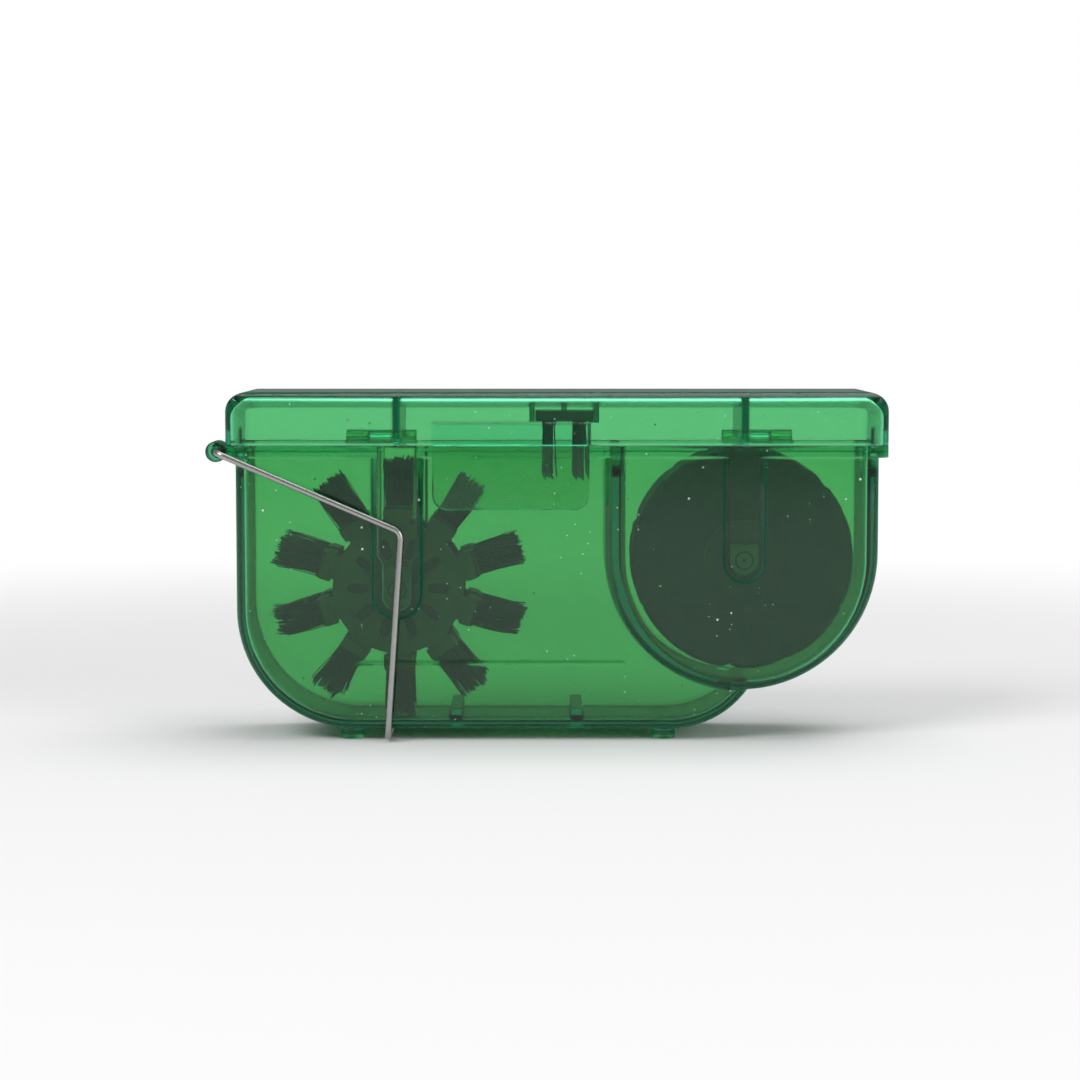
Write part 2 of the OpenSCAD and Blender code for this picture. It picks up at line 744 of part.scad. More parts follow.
// Web of a star disc, seen from the front
module star_outline() {
    circle(r = web_r, $fn = smooth);
    for (i = [0:arm_count - 1], step = [0:len(arm_width_shares) - 1])
        rotate(360 * (i + 0.5) / arm_count) arm_step(step);
}

// One step of a stepped arm: each step is wider than the one inside it
module arm_step(step) {
    width = holder_w * arm_width_shares[step];
    from_share = step == 0 ? 0 : arm_reach_shares[step - 1];
    span = arm_end_r - arm_root_r;
    start = arm_root_r + span * from_share;
    translate([start, -width / 2]) square([arm_root_r + span * arm_reach_shares[step] - start, width]);
}

module web_slot() {
    radius = web_slot_w / 2;
    translate([web_slot_in_r + radius, 0]) circle(r = radius, $fn = fine);
    translate([web_slot_out_r - radius, 0]) circle(r = radius, $fn = fine);
    translate([web_slot_in_r + radius, -radius])
        square([web_slot_out_r - web_slot_in_r - web_slot_w, web_slot_w]);
}

// The rear star disc; the front one is its mirror image
module star_disc() {
    difference() {
        union() {
            one_side(web_far - web_t, web_far) star_outline();
            cross_bar(disc_hub_r, spacer_l / 2, hub_half);
            translate([0, (holder_near + holder_far) / 2, 0]) on_arms(holder_r - holder_h)
                translate([-holder_w / 2, -holder_l / 2, 0]) cube([holder_w, holder_l, holder_h - slice_t]);
        }
        cross_bar(bore_r, spacer_l / 2 - overrun, hub_half + overrun);
        one_side(web_far - web_t + web_slot_floor, web_far + overrun)
            for (i = [0:arm_count - 1])
                rotate(360 * i / arm_count) web_slot();
    }
}

module brush_disc_front() {
    color(brush_grey) centred() translate([brush_x, 0, brush_z]) mirror([0, 1, 0]) star_disc();
}

module brush_disc_rear() {
    color(brush_grey) centred() translate([brush_x, 0, brush_z]) star_disc();
}

module brush_spacer() {
    color(brush_grey) centred() translate([brush_x, 0, brush_z]) difference() {
        cross_bar(disc_hub_r, -spacer_l / 2, spacer_l / 2);
        cross_bar(bore_r, -spacer_l / 2 - overrun, spacer_l / 2 + overrun);
    }
}

module brush_axle() {
    color(steel_grey) centred() translate([brush_x, 0, brush_z]) cross_bar(axle_r, -axle_half, axle_half);
}

// A bearing block round its child outline, with the axle at the origin
module bearing_block() {
    difference() {
        one_side(block_near, block_far) children();
        cross_bar(bore_r, block_near - overrun, block_near + block_bore_l);
        difference() {
            cross_bar(block_ring_r, block_far - block_ring_t, block_far + overrun);
            cross_bar(block_ring_r - block_ring_w, block_far - block_ring_t - overrun, block_far + 2 * overrun);
        }
        cross_bar(block_ring_w, block_far - block_ring_t, block_far + overrun);
    }
}

module brush_block_outline() {
    radius = brush_block_w / 2;
    translate([0, radius - brush_block_drop]) circle(r = radius, $fn = fine);
    translate([0, brush_block_h - brush_block_drop - radius]) circle(r = radius, $fn = fine);
    translate([-radius, radius - brush_block_drop]) square([brush_block_w, brush_block_h - brush_block_w]);
}

module sponge_block_outline() {
    circle(d = sponge_block_w, $fn = fine);
    translate([-sponge_block_w / 2, 0]) square([sponge_block_w, sponge_block_rise]);
}

module brush_block_front() {
    color(block_grey) centred() translate([brush_x, 0, brush_z]) mirror([0, 1, 0])
        bearing_block() brush_block_outline();
}

module brush_block_rear() {
    color(block_grey) centred() translate([brush_x, 0, brush_z]) bearing_block() brush_block_outline();
}

module sponge_block_front() {
    color(block_grey) centred() translate([sponge_x, 0, sponge_z]) mirror([0, 1, 0])
        bearing_block() sponge_block_outline();
}

module sponge_block_rear() {
    color(block_grey) centred() translate([sponge_x, 0, sponge_z]) bearing_block() sponge_block_outline();
}

module sponge_axle() {
    color(steel_grey) centred() translate([sponge_x, 0, sponge_z]) cross_bar(axle_r, -axle_half, axle_half);
}

module sponge_core() {
    color(brush_grey) centred() translate([sponge_x, 0, sponge_z]) difference() {
        cross_bar(core_r, -foam_t / 2, foam_t / 2);
        cross_bar(bore_r, -foam_t / 2 - overrun, foam_t / 2 + overrun);
    }
}

module sponge_foam() {
    color(foam_grey) centred() translate([sponge_x, 0, sponge_z]) difference() {
        rotate([90, 0, 0]) rotate_extrude($fn = smooth) edge_section(sponge_r, foam_t / 2, foam_edge_r);
        cross_bar(core_r + foam_gap, -foam_t / 2 - overrun, foam_t / 2 + overrun);
    }
}

// Plate and short hub that keep the foam on its core, at the back
module sponge_cap() {
    difference() {
        union() {
            cross_bar(plate_r, foam_t / 2, foam_t / 2 + plate_t);
            cross_bar(disc_hub_r, foam_t / 2, hub_half);
        }
        cross_bar(bore_r, foam_t / 2 - overrun, hub_half + overrun);
    }
}

module sponge_cap_front() {
    color(brush_grey) centred() translate([sponge_x, 0, sponge_z]) mirror([0, 1, 0]) sponge_cap();
}

module sponge_cap_rear() {
    color(brush_grey) centred() translate([sponge_x, 0, sponge_z]) sponge_cap();
}

module comb_block() {
    color(brush_grey) centred() translate([comb_mid_x - comb_l / 2, -comb_w / 2, comb_z + slice_t])
        cube([comb_l, comb_w, comb_t]);
}

// Two rows of round tufts, hanging down from their slices
module comb_tufts() {
    root_reach = (comb_tuft_r - comb_strand_tip_r) / tuft_splay;
    roots = [
        for (i = [0:comb_strands - 1])
            let (radius = root_reach * sqrt((i + 0.5) / comb_strands), turn = scatter_angle * i)
            [radius * cos(turn), radius * sin(turn)]
    ];
    color(bristle_black) centred()
        for (row = [-0.5, 0.5] * comb_pitch, y = [-comb_outer_y, -comb_inner_y, comb_inner_y, comb_outer_y])
            translate([comb_mid_x + row, y, comb_z]) mirror([0, 0, 1]) {
                translate([0, 0, -slice_t]) cylinder(r = comb_tuft_r, h = slice_t, $fn = fine);
                strands(roots, comb_bristle_l, comb_strand_r, comb_strand_tip_r);
            }
}

// A straight stretch of wire along Z, lapped into its bends, with what follows at its end
module wire_run(length) {
    lap = 4 * bend_swell;
    translate([0, 0, -lap]) cylinder(r = wire_r, h = length + 2 * lap, $fn = fine);
    translate([0, 0, length]) children();
}

// A bend of the wire from +Z, with what follows at its end
module wire_bend(turn, roll) {
    rotate([0, 0, roll]) {
        translate([-bend_r, 0, 0]) rotate([90, 0, 0])
            rotate_extrude(angle = turn, $fn = smooth)
                translate([bend_r, 0]) circle(r = wire_r + bend_swell, $fn = fine);
        translate([bend_r * (cos(turn) - 1), 0, bend_r * sin(turn)]) rotate([0, -turn, 0]) children();
    }
}

module arm() {
    color(steel_grey) centred() translate([pivot_x, wire_end_y, pivot_z]) rotate([90, 0, 0])
        wire_run(wire_end_y - arm_y - bend_r) wire_bend(90, 180 - arm_upper_tilt)
        wire_run(arm_upper_l - bend_r - elbow_cut) wire_bend(elbow_turn, -90)
        wire_run(arm_lower_l - elbow_cut - bend_r) wire_bend(90, 90)
        wire_run(hook_l - bend_r) sphere(r = wire_r + bend_swell, $fn = fine);
}

module arm_cap() {
    near = wire_end_y - cap_bore_l + running_gap;
    color(brush_grey) centred() translate([pivot_x, 0, pivot_z]) difference() {
        cross_bar(cap_r, near, near + cap_l);
        cross_bar(wire_r + running_gap, near - overrun, wire_end_y + running_gap);
    }
}

tank();
lid();
hinge_pins();
comb_block();
comb_tufts();
brush_axle();
brush_disc_front();
brush_disc_rear();
brush_spacer();
brush_tufts_front();
brush_tufts_rear();
brush_block_front();
brush_block_rear();
sponge_foam();
sponge_core();
sponge_cap_front();
sponge_cap_rear();
sponge_axle();
sponge_block_front();
sponge_block_rear();
arm();
arm_cap();
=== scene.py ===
import math

import bpy
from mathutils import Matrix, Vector, noise


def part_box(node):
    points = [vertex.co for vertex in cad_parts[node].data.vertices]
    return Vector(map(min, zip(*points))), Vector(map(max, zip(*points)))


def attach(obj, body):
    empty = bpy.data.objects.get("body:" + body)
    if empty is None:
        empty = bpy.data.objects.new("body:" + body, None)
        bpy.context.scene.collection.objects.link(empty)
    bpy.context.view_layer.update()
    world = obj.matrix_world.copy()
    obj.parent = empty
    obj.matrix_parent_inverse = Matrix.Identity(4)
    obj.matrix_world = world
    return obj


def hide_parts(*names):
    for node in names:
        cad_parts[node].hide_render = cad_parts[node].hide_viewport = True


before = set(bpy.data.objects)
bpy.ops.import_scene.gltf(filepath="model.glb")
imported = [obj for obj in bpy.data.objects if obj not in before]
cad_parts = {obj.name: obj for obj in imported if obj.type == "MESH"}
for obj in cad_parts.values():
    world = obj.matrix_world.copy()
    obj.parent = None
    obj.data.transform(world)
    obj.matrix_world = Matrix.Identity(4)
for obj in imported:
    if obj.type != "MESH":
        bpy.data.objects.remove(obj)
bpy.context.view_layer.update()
MM = 0.001


# Tank. One clear green injection moulding: a bath with two round lower corners, a U-shaped sponge chamber in
# its right half, a channel in the front and back for each axle, and a flanged rim. The polished mould leaves
# it glossy, with a faint haze, fine rubbing marks and a little dust.
class Shade:
    """A node tree with one of its output sockets, so that sockets can be added, multiplied and mixed."""

    def __init__(self, tree, socket=None):
        self.tree = tree
        self.socket = socket

    def node(self, kind, settings=(), inputs=(), output=0):
        made = self.tree.nodes.new("ShaderNode" + kind)
        for name, value in dict(settings).items():
            setattr(made, name, value)
        for key, value in dict(inputs).items():
            if isinstance(value, Shade):
                self.tree.links.new(value.socket, made.inputs[key])
            else:
                made.inputs[key].default_value = value
        return Shade(self.tree, made.outputs[output] if made.outputs else None)

    def maths(self, operation, first, second=0.0):
        return self.node("Math", {"operation": operation}, {0: first, 1: second})

    def __add__(self, other):
        return self.maths("ADD", self, other)

    def __sub__(self, other):
        return self.maths("SUBTRACT", self, other)

    def __rsub__(self, other):
        return self.maths("SUBTRACT", other, self)

    def __mul__(self, other):
        return self.maths("MULTIPLY", self, other)

    def __pow__(self, other):
        return self.maths("POWER", self, other)

    __radd__ = __add__
    __rmul__ = __mul__

    def above(self, edge, soft):
        """0 below the edge, rising to 1 over the soft width."""
        ends = {"From Min": edge, "From Max": edge + soft}
        return self.node("MapRange", {"interpolation_type": "SMOOTHSTEP"}, {"Value": self, **ends})

    def blend(self, low, high):
        """A colour between two, by this factor."""
        return self.node("Mix", {"data_type": "RGBA"}, {0: self, 6: low, 7: high}, output=2)


def start_material(name):
    """A new material, its tree, and the object's own coordinates."""
    material = bpy.data.materials.new(name)
    material.use_nodes = True
    material.node_tree.nodes.clear()
    shade = Shade(material.node_tree)
    return material, shade, shade.node("TexCoord", output=3)


def grain(shade, place, size, detail=2.0, stretch=(1, 1, 1)):
    """Soft noise whose lumps are about as wide as size."""
    spread = shade.node("Mapping", inputs={"Vector": place, "Scale": stretch})
    return shade.node("TexNoise", inputs={"Vector": spread, "Scale": 1 / size, "Detail": detail})


def specks(shade, place, size, share):
    """Small round flecks, each a tenth of its cell, in the given share of a voronoi pattern's cells."""
    cells = shade.node("TexVoronoi", inputs={"Vector": place, "Scale": 1 / size})
    cell_colour = shade.node("TexVoronoi", inputs={"Vector": place, "Scale": 1 / size}, output=1)
    chance = shade.node("SeparateColor", inputs={"Color": cell_colour})
    return (1 - cells.above(0.06, 0.04)) * chance.above(1 - share, 0.001)


def finish_material(material, shade, surface, **volume):
    """Joins the surface, and where there is one the volume, to the material's output."""
    shade.node("OutputMaterial", inputs={"Surface": surface, **volume})
    return material


HAZE_SHARE = 0.025
RUB_SHARE = 0.05
DUST_SHARE = 0.8
EDGE_ROUNDING = 1.2 * MM
PLASTIC_IOR = 1.45
DEPTH_TINT = (0.0, 0.79, 0.74, 1)
DEPTH_DENSITY = 190.0


def clear_plastic(name, passed, edge_shade_share):
    """Clear plastic: it bends light at its rounded edges, tints it by depth, and is a little hazy and dusty.

    The edge shade share is how much painted shade it gets where it turns away: emerald at first, then nearly
    black.
    """
    material, shade, place = start_material(name)
    flow = grain(shade, place, 26 * MM, 3.0, (0.4, 1, 1))
    rubs = grain(shade, place, 1.1 * MM, 4.0, (0.05, 1, 1)).above(0.64, 0.12)
    scratches = grain(shade, place, 5 * MM, 2.0, (0.1, 3, 3))
    lint = grain(shade, place, 9 * MM, 2.0, (1, 1, 0.3)).above(0.44, 0.15)
    dust = specks(shade, place, 2.2 * MM, 0.3) * lint + specks(shade, place, 4.4 * MM, 0.08)
    ripple = grain(shade, place, 9 * MM, 1.0)
    facing = shade.node("LayerWeight", inputs={"Blend": 0.5}, output=1)
    rounded = shade.node("Bevel", {"samples": 6}, {"Radius": EDGE_ROUNDING})
    bump = shade.node("Bump", inputs={
        "Height": ripple + 0.1 * scratches, "Strength": 0.12, "Distance": 0.4 * MM, "Normal": rounded,
    })
    glass = shade.node("BsdfPrincipled", inputs={
        "Base Color": (*passed, 1),
        "Transmission Weight": 1.0,
        "Roughness": 0.03 + 0.1 * rubs,
        "IOR": PLASTIC_IOR,
        "Specular IOR Level": 0.3,
        "Normal": bump,
    })
    cloudy = shade.node("BsdfDiffuse", inputs={
        "Color": flow.blend((0.0, 0.22, 0.12, 1), (0.01, 0.29, 0.15, 1)),
    })
    # Painted shade at the edges: where the plastic turns away it is painted emerald, then nearly black, for
    # the dark lines that light draws at its edges.
    edge = shade.node("BsdfDiffuse", inputs={
        "Color": (facing ** 4.0).blend((0.0, 0.34, 0.19, 1), (0.0, 0.008, 0.006, 1)),
    })
    fleck = shade.node("BsdfDiffuse", inputs={"Color": (0.8, 0.85, 0.8, 1)})
    surface = shade.node("MixShader", inputs={0: HAZE_SHARE + RUB_SHARE * rubs, 1: glass, 2: cloudy})
    surface = shade.node("MixShader", inputs={0: edge_shade_share * facing ** 2.1, 1: surface, 2: edge})
    surface = shade.node("MixShader", inputs={0: DUST_SHARE * dust, 1: surface, 2: fleck})
    depth = shade.node("VolumeAbsorption", inputs={"Color": DEPTH_TINT, "Density": DEPTH_DENSITY})
    return finish_material(material, shade, surface, Volume=depth)


def dress(node, material):
    """Gives a CAD node its finish."""
    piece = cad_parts[node]
    piece.data.materials.clear()
    piece.data.materials.append(material)
    return piece


tank_green = clear_plastic("clear green plastic", (0.36, 0.69, 0.33), 0.85)
dress("tank", tank_green)


# Hinge pins. Two short lengths of drawn stainless wire, pressed through the knuckles of tank and lid.
# Drawing leaves fine lines along the wire and a soft, not quite even shine.
LINES_STRETCH = 14


def drawn_steel(name, along, tone):
    """Drawn wire whose fine lines run along one axis: 0 is X, 1 is Y, 2 is Z."""
    material, shade, place = start_material(name)
    stretch = [1 if axis == along else LINES_STRETCH for axis in range(3)]
    lines = grain(shade, place, 2.4 * MM, 4.0, stretch)
    stain = grain(shade, place, 12 * MM, 2.0)
    bump = shade.node("Bump", inputs={"Height": lines, "Strength": 0.25, "Distance": 0.05 * MM})
    dull = tuple(0.7 * part for part in tone)
    surface = shade.node("BsdfPrincipled", inputs={
        "Base Color": (0.6 * lines + 0.5 * stain).blend((*dull, 1), (*tone, 1)),
        "Metallic": 1.0,
        "Roughness": 0.16 + 0.2 * lines,
        "Normal": bump,
    })
    return finish_material(material, shade, surface)


pin_steel = drawn_steel("drawn pin steel", 0, (0.62, 0.62, 0.6))
dress("hinge_pins", pin_steel)


# Bearing blocks. Four small grey-green acetal mouldings that drop into the tank's channels and carry the
# axles' ends. They are satin, and painted shade darkens the ring and the hollows in their outer faces.
def satin_plastic(name, dark, light, grain_size, roughness, unshaded_from):
    """Satin moulding, darkened by painted shade in its recesses, where it lies nearer the middle plane than
    the given distance.
    """
    material, shade, place = start_material(name)
    cloud = grain(shade, place, 7 * MM, 3.0)
    texture = grain(shade, place, grain_size, 2.0)
    scuffs = grain(shade, place, 2.0 * MM, 5.0, (1, 1, 0.15)).above(0.6, 0.15)
    place_y = shade.node("SeparateXYZ", inputs={"Vector": place}, output=1)
    from_middle = shade.maths("ABSOLUTE", place_y - MIDDLE_Y)
    unshaded = from_middle.above(unshaded_from, 0.3 * MM)
    bump = shade.node("Bump", inputs={"Height": texture, "Strength": 0.35, "Distance": 0.06 * MM})
    worn = (cloud * 0.8 + 0.5 * scuffs).blend((*dark, 1), (*light, 1))
    # Painted shade: nearer the middle plane, in the recesses, the colour drops to a quarter of the dark tone.
    recess_shade = tuple(0.25 * part for part in dark)
    surface = shade.node("BsdfPrincipled", inputs={
        "Base Color": unshaded.blend((*recess_shade, 1), worn),
        "Roughness": roughness + 0.14 * texture,
        "Specular IOR Level": 0.4,
        "Normal": bump,
    })
    return finish_material(material, shade, surface)


brush_middle = (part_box("brush_axle")[0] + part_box("brush_axle")[1]) / 2
MIDDLE_Y = brush_middle.y
block_grey = satin_plastic(
    "block plastic", (0.07, 0.1, 0.07), (0.13, 0.17, 0.12),
    grain_size=0.5 * MM, roughness=0.34, unshaded_from=19.7 * MM,
)
for wheel in ("brush", "sponge"):
    for end in ("front", "rear"):
        dress(f"{wheel}_block_{end}", block_grey)


# Brush wheel. Two ten-armed star discs on a steel pin, kept apart by a sleeve. Each arm widens in steps to
# the box that a tuft is stapled in. The discs are finely grained brown nylon, with painted shade in their
# slots.
disc_brown = satin_plastic(
    "disc nylon", (0.08, 0.07, 0.035), (0.14, 0.12, 0.06),
    grain_size=0.35 * MM, roughness=0.38, unshaded_from=13.2 * MM,
)
for node in ("brush_disc_front", "brush_disc_rear", "brush_spacer"):
    dress(node, disc_brown)
axle_steel = drawn_steel("drawn axle steel", 1, (0.6, 0.6, 0.58))
dress("brush_axle", axle_steel)


# Brush tufts. Ten tufts of black nylon filament on each disc, cut a little ragged and splayed by use, each
# held by a slice of backing in the mouth of its arm. One node tree makes every tuft of the object from a
# point at its root, so the comb in the lid uses it too.
STRAND_SIDES = 5
STRAND_STEPS = 4
TIP_SHARE = 0.7
STRAY_LEAN = 0.035
CLUMPS_PER_METRE = 420.0


def bristle_tree():
    """A node tree that grows a tuft of strands, and the slice of backing under it, at every root."""
    tree = bpy.data.node_groups.new("tufts", "GeometryNodeTree")
    tree.interface.new_socket("Roots", in_out="INPUT", socket_type="NodeSocketGeometry")
    for name, kind in {
        "Width": "Float", "Depth": "Float", "Length": "Float", "Backing": "Float", "Strand": "Float",
        "Spacing": "Float", "Splay": "Float", "Ragged": "Float", "Bend": "Float",
        "Round": "Bool", "Seed": "Int", "Strand finish": "Material", "Backing finish": "Material",
    }.items():
        tree.interface.new_socket(name, in_out="INPUT", socket_type="NodeSocket" + kind)
    tree.interface.new_socket("Tufts", in_out="OUTPUT", socket_type="NodeSocketGeometry")
    given = tree.nodes.new("NodeGroupInput").outputs

    def node(kind, settings=(), inputs=(), output=0):
        made = tree.nodes.new(kind)
        for name, value in dict(settings).items():
            setattr(made, name, value)
        for key, value in dict(inputs).items():
            if isinstance(value, bpy.types.NodeSocket):
                tree.links.new(value, made.inputs[key])
            else:
                made.inputs[key].default_value = value
        return made.outputs[output]

    def maths(operation, first, second=0.0):
        return node("ShaderNodeMath", {"operation": operation}, {0: first, 1: second})

    def vector(x=0.0, y=0.0, z=0.0):
        return node("ShaderNodeCombineXYZ", inputs={0: x, 1: y, 2: z})

    def vector_maths(operation, first, second):
        return node("ShaderNodeVectorMath", {"operation": operation}, {0: first, 1: second})

    # Roots of one tuft's strands: spread evenly over its footprint, with the corners off a round one
    patch = node("GeometryNodeMeshGrid", inputs={
        "Size X": given["Width"], "Size Y": given["Depth"], "Vertices X": 2, "Vertices Y": 2,
    })
    roots = node("GeometryNodeDistributePointsOnFaces", {"distribute_method": "POISSON"}, {
        "Mesh": patch, "Distance Min": given["Spacing"], "Density Max": 4e6, "Seed": given["Seed"],
    })
    here = node("GeometryNodeInputPosition")
    halves = vector(maths("MULTIPLY", given["Width"], 0.5), maths("MULTIPLY", given["Depth"], 0.5), 1.0)
    off_centre = node("ShaderNodeVectorMath", {"operation": "LENGTH"},
                      {0: vector_maths("DIVIDE", here, halves)}, output=1)
    outside = node("FunctionNodeCompare", {"operation": "GREATER_THAN"}, {0: off_centre, 1: 1.0})
    in_corner = node("FunctionNodeBooleanMath", {"operation": "AND"}, {0: outside, 1: given["Round"]})
    roots = node("GeometryNodeDeleteGeometry", {"domain": "POINT"}, {0: roots, 1: in_corner})

    # One strand, which leans outwards from the tuft's middle and is cut a little short at random
    strand = node("GeometryNodeMeshCone", inputs={
        "Vertices": STRAND_SIDES, "Side Segments": STRAND_STEPS, "Fill Segments": 1, "Depth": given["Length"],
        "Radius Bottom": given["Strand"], "Radius Top": maths("MULTIPLY", given["Strand"], TIP_SHARE),
    })
    spread = node("ShaderNodeVectorMath", {"operation": "SCALE"}, {
        0: here, "Scale": maths("DIVIDE", given["Splay"], given["Length"]),
    })
    stray = node("FunctionNodeRandomValue", {"data_type": "FLOAT_VECTOR"}, {
        0: (-STRAY_LEAN, -STRAY_LEAN, 0), 1: (STRAY_LEAN, STRAY_LEAN, 0), "Seed": given["Seed"],
    })
    lean = vector_maths("ADD", vector_maths("ADD", spread, stray), vector(z=1.0))
    turned = node("FunctionNodeAlignRotationToVector", {"axis": "Z"}, {"Vector": lean})
    cut = node("FunctionNodeRandomValue", inputs={
        2: maths("SUBTRACT", 1.0, given["Ragged"]), 3: 1.0, "Seed": maths("ADD", given["Seed"], 7),
    }, output=1)
    strands = node("GeometryNodeInstanceOnPoints", inputs={
        "Points": roots, "Instance": strand, "Rotation": turned, "Scale": vector(1.0, 1.0, cut),
    })
    strands = node("GeometryNodeRealizeInstances", inputs={0: strands})
    height = node("ShaderNodeSeparateXYZ", inputs={0: here}, output=2)
    reach = maths("DIVIDE", height, given["Length"])
    strands = node("GeometryNodeStoreNamedAttribute", {"data_type": "FLOAT", "domain": "POINT"}, {
        "Geometry": strands, "Name": "reach", "Value": maths("MULTIPLY", reach, reach),
    })
    strands = node("GeometryNodeSetMaterial", inputs={0: strands, "Material": given["Strand finish"]})

    # The slice of backing under it, square or round
    brick = node("GeometryNodeMeshCube", inputs={
        0: vector(maths("ADD", given["Width"], given["Strand"]),
                  maths("ADD", given["Depth"], given["Strand"]), given["Backing"]),
    })
    disc = node("GeometryNodeMeshCylinder", inputs={
        "Vertices": 24, "Radius": maths("MULTIPLY", given["Width"], 0.6), "Depth": given["Backing"],
    })
    slab = node("GeometryNodeSwitch", {"input_type": "GEOMETRY"}, {
        0: given["Round"], 1: brick, 2: disc,
    })
    slab = node("GeometryNodeTransform", inputs={
        "Geometry": slab, "Translation": vector(z=maths("MULTIPLY", given["Backing"], -0.5)),
    })
    slab = node("GeometryNodeSetMaterial", inputs={0: slab, "Material": given["Backing finish"]})
    joined = tree.nodes.new("GeometryNodeJoinGeometry")
    for part in (strands, slab):
        tree.links.new(part, joined.inputs[0])

    # A tuft at every root, which points the way that the root says. Towards its tip it leans over and clumps
    outward = node("GeometryNodeInputNamedAttribute", {"data_type": "FLOAT_VECTOR"}, {"Name": "outward"})
    stood = node("FunctionNodeAlignRotationToVector", {"axis": "Z"}, {"Vector": outward})
    stood = node("FunctionNodeAlignRotationToVector", {"axis": "Y", "pivot_axis": "Z"}, {
        "Rotation": stood, "Vector": (0, 1, 0),
    })
    tufts = node("GeometryNodeInstanceOnPoints", inputs={
        "Points": given["Roots"], "Instance": joined.outputs[0], "Rotation": stood,
    })
    tufts = node("GeometryNodeRealizeInstances", inputs={0: tufts})
    clumps = node("ShaderNodeTexNoise", inputs={
        "Vector": here, "Scale": CLUMPS_PER_METRE, "Detail": 1.0,
    }, output=1)
    sway = vector_maths("SUBTRACT", clumps, (0.5, 0.5, 0.5))
    reach = node("GeometryNodeInputNamedAttribute", {"data_type": "FLOAT"}, {"Name": "reach"})
    sway = node("ShaderNodeVectorMath", {"operation": "SCALE"}, {
        0: sway, "Scale": maths("MULTIPLY", reach, given["Bend"]),
    })
    lean = node("GeometryNodeInputNamedAttribute", {"data_type": "FLOAT_VECTOR"}, {"Name": "lean"})
    leaning = node("ShaderNodeVectorMath", {"operation": "SCALE"}, {0: lean, "Scale": reach})
    tufts = node("GeometryNodeSetPosition", inputs={
        "Geometry": tufts, "Offset": vector_maths("ADD", sway, leaning),
    })
    tree.links.new(tufts, tree.nodes.new("NodeGroupOutput").inputs[0])
    return tree


def make_tufts(name, tree, roots, outward, leans, values):
    """A plain mesh of tufts, standing at the given roots and bent at their tips by the given leans."""
    mesh = bpy.data.meshes.new(name + "_roots")
    mesh.from_pydata(roots, [], [])
    for label, ways in (("outward", outward), ("lean", leans or [(0, 0, 0)] * len(roots))):
        mesh.attributes.new(label, "FLOAT_VECTOR", "POINT").data.foreach_set(
            "vector", [part for way in ways for part in way]
        )
    seedling = bpy.data.objects.new(name + "_roots", mesh)
    bpy.context.scene.collection.objects.link(seedling)
    modifier = seedling.modifiers.new("tufts", "NODES")
    modifier.node_group = tree
    for socket in tree.interface.items_tree:
        if socket.name in values:
            modifier[socket.identifier] = values[socket.name]
    seen = seedling.evaluated_get(bpy.context.evaluated_depsgraph_get())
    grown = bpy.data.meshes.new_from_object(seen)
    bpy.data.objects.remove(seedling)
    piece = bpy.data.objects.new(name, grown)
    bpy.context.scene.collection.objects.link(piece)
    return piece


def bristle_nylon(name):
    """Black filament, a little uneven in tone and shine."""
    material, shade, place = start_material(name)
    tone = grain(shade, place, 1.4 * MM, 3.0)
    surface = shade.node("BsdfPrincipled", inputs={
        "Base Color": tone.blend((0.004, 0.004, 0.005, 1), (0.022, 0.023, 0.024, 1)),
        "Roughness": 0.34 + 0.2 * tone,
        "Specular IOR Level": 0.35,
    })
    return finish_material(material, shade, surface)


tuft_tree = bristle_tree()
dark_nylon = satin_plastic(
    "dark nylon", (0.022, 0.022, 0.018), (0.05, 0.047, 0.036),
    grain_size=0.35 * MM, roughness=0.38, unshaded_from=0.0,
)
black_nylon = bristle_nylon("bristle nylon")
TUFT_COUNT = 10
HOLDER_RADIUS = 25.7 * MM
TUFT_LEANS = (-0.4, 0.6, 0.2, -0.8, 0.9, -1.9, -0.7, 0.3, 0.5, 2.0)
TUFT_VALUES = {
    "Width": 8.2 * MM, "Depth": 10.2 * MM, "Length": 14.7 * MM, "Backing": 1.0 * MM,
    "Strand": 0.19 * MM, "Spacing": 0.62 * MM, "Splay": 0.16, "Ragged": 0.13, "Bend": 2.2 * MM,
    "Round": False, "Strand finish": black_nylon, "Backing finish": dark_nylon,
}
for seed, end in enumerate(("front", "rear")):
    low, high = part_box(f"brush_tufts_{end}")
    hub = Vector((brush_middle.x, (low.y + high.y) / 2, brush_middle.z))
    roots, outward, leans = [], [], []
    for count in range(TUFT_COUNT):
        turn = 2 * math.pi * (count + 0.5) / TUFT_COUNT
        way = Vector((math.cos(turn), 0, math.sin(turn)))
        across = Vector((-way.z, 0, way.x))
        outward.append(way)
        leans.append(TUFT_LEANS[(count + 3 * seed) % TUFT_COUNT] * MM * across)
        roots.append(hub + HOLDER_RADIUS * way)
    values = {**TUFT_VALUES, "Seed": seed + 3}
    tufts = make_tufts(f"brush_bristles_{end}", tuft_tree, roots, outward, leans, values)
    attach(tufts, "brush_wheel")
    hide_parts(f"brush_tufts_{end}")


# Sponge wheel. A thick ring of charcoal open-cell foam, cut from sheet, on a black sleeve with a plate
# at each end. The cells leave the skin pitted, and the chain and the cutter leave nicks round its rims.
CELL_SIZE = 0.9 * MM
FINE_CELL_SIZE = 0.45 * MM


